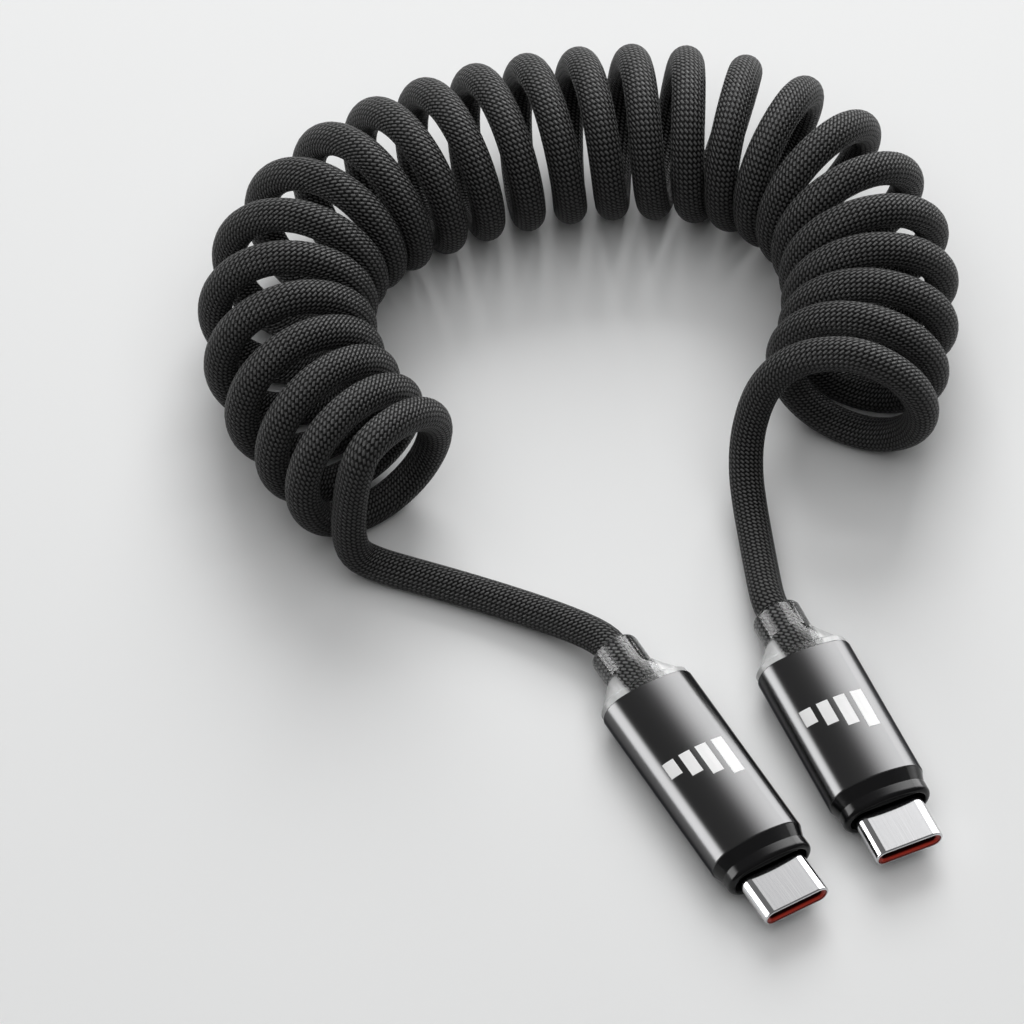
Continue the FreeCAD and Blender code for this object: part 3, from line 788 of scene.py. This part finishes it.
def glow_light(tree, direction, strength, aim, edge, core=0.0):
    """The brightness of a wide soft light, from 0 at its edge to its full strength at its core."""
    sockets = {0: direction, 1: Vector(aim).normalized()}
    facing = add_node(tree, "ShaderNodeVectorMath", sockets, operation="DOT_PRODUCT").outputs["Value"]
    sockets = {"Value": facing, "From Min": math.cos(edge), "From Max": math.cos(core), "To Max": strength}
    return add_node(tree, "ShaderNodeMapRange", sockets, interpolation_type="SMOOTHSTEP").outputs[0]


def soft_lamp(name, power, size, target, offset):
    """A square lamp at an offset from its target, which it faces. Neither gloss nor the camera shows it."""
    lamp = bpy.data.lights.new(name, "AREA")
    lamp.energy = power
    lamp.size = size
    made = bpy.data.objects.new(name, lamp)
    made.location = target + offset
    made.rotation_euler = offset.to_track_quat("Z", "Y").to_euler()
    made.visible_glossy = False
    made.visible_camera = False
    bpy.context.scene.collection.objects.link(made)


def studio_light(stage):
    """A wide lamp overhead and a key lamp behind, in a room whose glows are what the gloss shows."""
    target = Vector(stage.target)
    level = math.cos(stage.key_elevation) * stage.key_distance
    back = Vector((math.sin(stage.key_azimuth) * level, math.cos(stage.key_azimuth) * level,
                   math.sin(stage.key_elevation) * stage.key_distance))
    soft_lamp("key", stage.key_power, stage.key_size, target, back)
    soft_lamp("top", stage.top_power, stage.top_size, target, Vector((0.0, 0.0, stage.top_height)))

    world = bpy.data.worlds.new("room")
    bpy.context.scene.world = world
    world.use_nodes = True
    world.cycles_visibility.diffuse = False
    tree = world.node_tree
    direction = tree.nodes.new("ShaderNodeTexCoord").outputs["Generated"]
    back_glow = glow_light(tree, direction, stage.back_glow, stage.back_glow_aim, stage.back_glow_edge)
    side_glow = glow_light(tree, direction, stage.side_glow, stage.side_glow_aim, stage.side_glow_edge,
                           stage.side_glow_core)
    glows = add_node(tree, "ShaderNodeMath", {0: back_glow, 1: side_glow}, operation="ADD").outputs[0]
    room = add_node(tree, "ShaderNodeMath", {0: glows, 1: stage.room}, operation="ADD").outputs[0]
    background = tree.nodes["Background"].inputs
    tree.links.new(room, background["Strength"])
    background["Color"].default_value = (1.0, 1.0, 1.0, 1.0)


def photo_camera(stage):
    """A long lens that looks down at the cable from the side of the plugs."""
    lens = bpy.data.cameras.new("camera")
    lens.lens = stage.lens
    camera = bpy.data.objects.new("camera", lens)
    back = Vector((0.0, -math.cos(stage.elevation), math.sin(stage.elevation)))
    camera.location = Vector(stage.target) + back * stage.distance
    camera.rotation_euler = (math.pi / 2 - stage.elevation, 0.0, 0.0)
    bpy.context.scene.collection.objects.link(camera)
    bpy.context.scene.camera = camera


class CABLE_OT_stage(bpy.types.Operator):
    """Sets up the table, the light and the camera"""

    bl_idname = "cable.stage"
    bl_label = "Table, light and camera"

    def execute(self, context):
        scene = context.scene
        table_top(scene.cable_stage, scene.cable_colours)
        studio_light(scene.cable_stage)
        photo_camera(scene.cable_stage)
        scene.view_settings.view_transform = "Standard"
        return {"FINISHED"}


class CABLE_PT_cable(bpy.types.Panel):
    """Lists the cable's pieces and their sizes"""

    bl_idname = "CABLE_PT_cable"
    bl_label = "Coiled cable"
    bl_space_type = "VIEW_3D"
    bl_region_type = "UI"
    bl_category = "Cable"

    def draw(self, context):
        for group, kind in GROUPS.items():
            box = self.layout.box()
            owner = getattr(context.scene, group)
            for name in kind.__annotations__:
                box.prop(owner, name)
        for operator in OPERATORS:
            self.layout.operator(operator.bl_idname)


GROUPS = {"cable_sizes": CableSizes, "cable_colours": CableColours, "cable_stage": CableStage}
OPERATORS = (
    CABLE_OT_braided_cord, CABLE_OT_housings, CABLE_OT_charge_bars, CABLE_OT_clear_ends, CABLE_OT_mouths,
    CABLE_OT_inner_works, CABLE_OT_stage,
)


def register():
    for kind in (*GROUPS.values(), *OPERATORS, CABLE_PT_cable):
        bpy.utils.register_class(kind)
    for name, kind in GROUPS.items():
        setattr(bpy.types.Scene, name, PointerProperty(type=kind))


def unregister():
    for name in GROUPS:
        delattr(bpy.types.Scene, name)
    for kind in reversed((*GROUPS.values(), *OPERATORS, CABLE_PT_cable)):
        bpy.utils.unregister_class(kind)


def main():
    register()
    bpy.ops.cable.braided_cord()
    bpy.ops.cable.housings()
    bpy.ops.cable.charge_bars()
    bpy.ops.cable.clear_ends()
    bpy.ops.cable.mouths()
    bpy.ops.cable.inner_works()
    bpy.ops.cable.stage()


if __name__ == "__main__":
    main()
